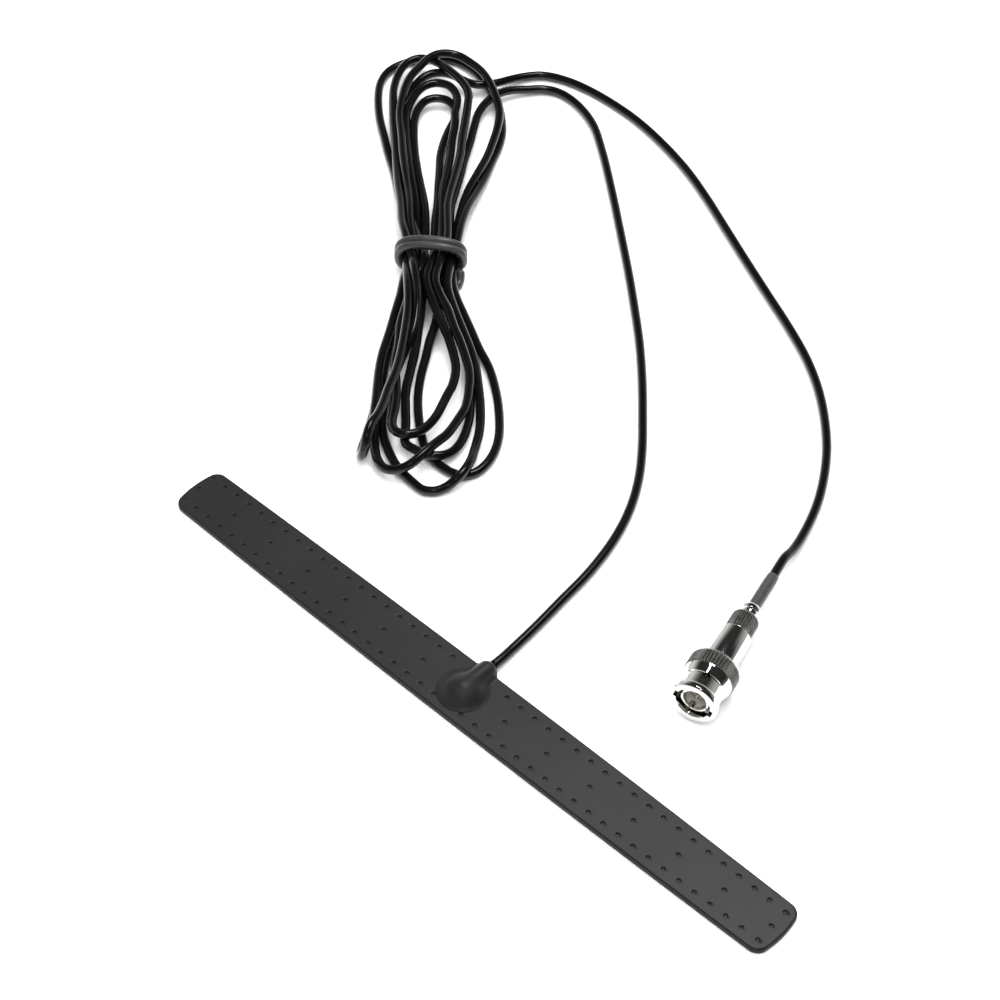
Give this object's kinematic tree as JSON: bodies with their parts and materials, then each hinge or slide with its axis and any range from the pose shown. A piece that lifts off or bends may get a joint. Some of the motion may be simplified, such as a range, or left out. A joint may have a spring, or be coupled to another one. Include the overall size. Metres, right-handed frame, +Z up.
{
  "type": "strip antenna with coaxial lead",
  "caption": "Flat self-adhesive strip antenna with a domed cable boss, a thin coaxial lead tied in a hank and a bayonet coaxial plug with a sprung turning coupling.",
  "frame": {"origin": "middle of the strip's underside, on the surface it is stuck to or lies on", "axes": "+X along the strip, +Y the side the lead leaves from, +Z up out of the surface"},
  "size_m": [0.3079, 0.2221, 0.0147],
  "materials": {
    "strip_vinyl": "satin, very fine leather-like grain",
    "dark_film": "satin",
    "clear_film": "gloss film",
    "liner_paper": "silicone-coated paper",
    "adhesive_foam": "matt foam",
    "copper": "rolled foil",
    "circuit_board": "solder mask",
    "solder": "bright",
    "coax_dielectric": "waxy",
    "tinned_braid": "woven",
    "lead_jacket": "glossy flexible jacket",
    "tie_jacket": "semi-gloss flexible jacket",
    "shrink_sleeve": "satin sleeve",
    "tin_plate": "tin plate",
    "nickel_bright": "bright nickel plate",
    "nickel_knurled": "nickel plate, straight knurl",
    "gasket_rubber": "matt",
    "brass": "turned",
    "ptfe": "waxy white",
    "gold_plate": "gold plate",
    "silicone": "matt",
    "spring_steel": "bright"
  },
  "bodies": {
    "antenna": {"release_liner": "liner_paper", "adhesive_pad": "adhesive_foam", "base_film": "dark_film", "element_carrier": "clear_film", "dipole_left_arm": "copper", "dipole_right_arm": "copper", "strip_body": "strip_vinyl", "feed_board": "circuit_board", "feed_solder": "solder", "feed_conductor": "copper", "feed_dielectric": "coax_dielectric", "feed_braid": "tinned_braid", "feed_jacket": "lead_jacket", "cable_clamp": "tin_plate", "lead_to_strip": "lead_jacket", "cable_hank": "lead_jacket", "hank_tie": "tie_jacket", "lead_to_plug": "lead_jacket", "strain_sleeve": "shrink_sleeve", "tail_ring": "nickel_bright", "clamp_nut": "nickel_knurled", "clamp_washer": "tin_plate", "clamp_gasket": "gasket_rubber", "braid_clamp": "brass", "plug_jacket": "lead_jacket", "plug_braid": "tinned_braid", "plug_dielectric": "coax_dielectric", "plug_conductor": "copper", "plug_barrel": "nickel_bright", "front_insulator": "ptfe", "rear_insulator": "ptfe", "centre_pin": "gold_plate", "mating_gasket": "silicone", "wave_washers": "spring_steel"},
    "coupling_carrier": {"thrust_washer": "tin_plate"},
    "coupling": {"snap_ring": "spring_steel", "coupling_sleeve": "nickel_knurled"}
  },
  "joints": [
    {"name": "coupling_push", "type": "slide", "parent": "antenna", "child": "coupling_carrier", "axis": [0.2568, -0.9651, 0.0523], "range_m": [0, 0.001], "stiffness_N_per_m": 1500, "springref_m": -0.001},
    {"name": "coupling_turn", "type": "hinge", "parent": "coupling_carrier", "child": "coupling", "pos_m": [0.0479, 0.04156, 0.0076], "axis": [0.2568, -0.9651, 0.0523], "continuous": true}
  ]
}
